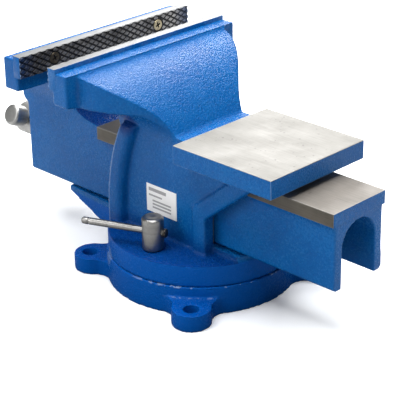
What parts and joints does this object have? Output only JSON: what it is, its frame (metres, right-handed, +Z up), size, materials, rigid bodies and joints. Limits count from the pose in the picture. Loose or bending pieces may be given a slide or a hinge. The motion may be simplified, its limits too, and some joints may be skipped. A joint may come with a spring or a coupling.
{
  "type": "bench vise",
  "caption": "Cast bench vise with an anvil, steel jaw plates, a U-section slide, a T-handle screw and a bolt-down swivel base with two locks.",
  "frame": {"origin": "centre of the bolt circle on the underside of the swivel base, on the swivel axis", "axes": "+Z up from the bench along the swivel axis, +X from the anvil towards the handle along the slide"},
  "size_m": [0.4071, 0.2633, 0.1964],
  "materials": {
    "blue_enamel": "glossy enamel on a rough casting",
    "machined_iron": "ground bright",
    "black_steel": "blackened, diamond knurl",
    "brass_plate": "yellow zinc",
    "bright_steel": "turned and polished",
    "dark_steel": "turned, oiled",
    "spring_steel": "drawn wire",
    "grey_iron": "as cast, greased",
    "label_white": "paper label, blank"
  },
  "bodies": {
    "base": {"base_plate": "blue_enamel"},
    "swivel": {"swivel_body": "blue_enamel", "fixed_jaw_plate": "black_steel", "fixed_plate_screws": "brass_plate", "main_nut": "grey_iron", "nut_bolts": "dark_steel", "nut_bolt_washers": "dark_steel", "lock_bolt_left": "dark_steel", "lock_bolt_right": "dark_steel", "label_left": "label_white", "label_right": "label_white"},
    "jaw": {"moving_jaw": "blue_enamel", "moving_jaw_plate": "black_steel", "moving_plate_screws": "brass_plate"},
    "screw": {"main_screw": "bright_steel", "thrust_washer": "bright_steel", "spring_washer": "bright_steel", "take_up_spring": "spring_steel", "retaining_washer": "bright_steel", "split_pin": "spring_steel"},
    "handle": {"handle_bar": "bright_steel", "handle_knob_upper": "bright_steel", "handle_knob_lower": "bright_steel"},
    "left_nut": {"lock_nut_left": "dark_steel"},
    "right_nut": {"lock_nut_right": "dark_steel"},
    "left_bar": {"lock_bar_left": "bright_steel"},
    "right_bar": {"lock_bar_right": "bright_steel"}
  },
  "joints": [
    {"name": "body_swivel", "type": "hinge", "parent": "base", "child": "swivel", "pos_m": [0, 0, 0.025], "axis": [0, 0, 1], "continuous": true},
    {"name": "jaw_slide", "type": "slide", "parent": "swivel", "child": "jaw", "axis": [1, 0, 0], "range_m": [-0.0348, 0.15]},
    {"name": "screw_spin", "type": "hinge", "parent": "jaw", "child": "screw", "pos_m": [0.2, 0, 0.0844], "axis": [1, 0, 0], "range_deg": [-2500, 10790]},
    {"name": "handle_slide", "type": "slide", "parent": "screw", "child": "handle", "axis": [0, 0.91, 0.4147], "range_m": [-0.0022, 0.144]},
    {"name": "left_nut_turn", "type": "hinge", "parent": "swivel", "child": "left_nut", "pos_m": [-0.0035, 0.062, 0.06], "axis": [0, 0, 1], "range_deg": [-25, 165]},
    {"name": "left_bar_slide", "type": "slide", "parent": "left_nut", "child": "left_bar", "axis": [0.9245, 0.3811, 0], "range_m": [-0.024, 0]},
    {"name": "right_nut_turn", "type": "hinge", "parent": "swivel", "child": "right_nut", "pos_m": [-0.0035, -0.062, 0.06], "axis": [0, 0, 1], "range_deg": [-165, 25]},
    {"name": "right_bar_slide", "type": "slide", "parent": "right_nut", "child": "right_bar", "axis": [0.9245, -0.3811, 0], "range_m": [-0.024, 0]}
  ],
  "couplings": [
    {"joint": "jaw_slide", "follows": "screw_spin", "m_per_rad": 0.00079577}
  ]
}
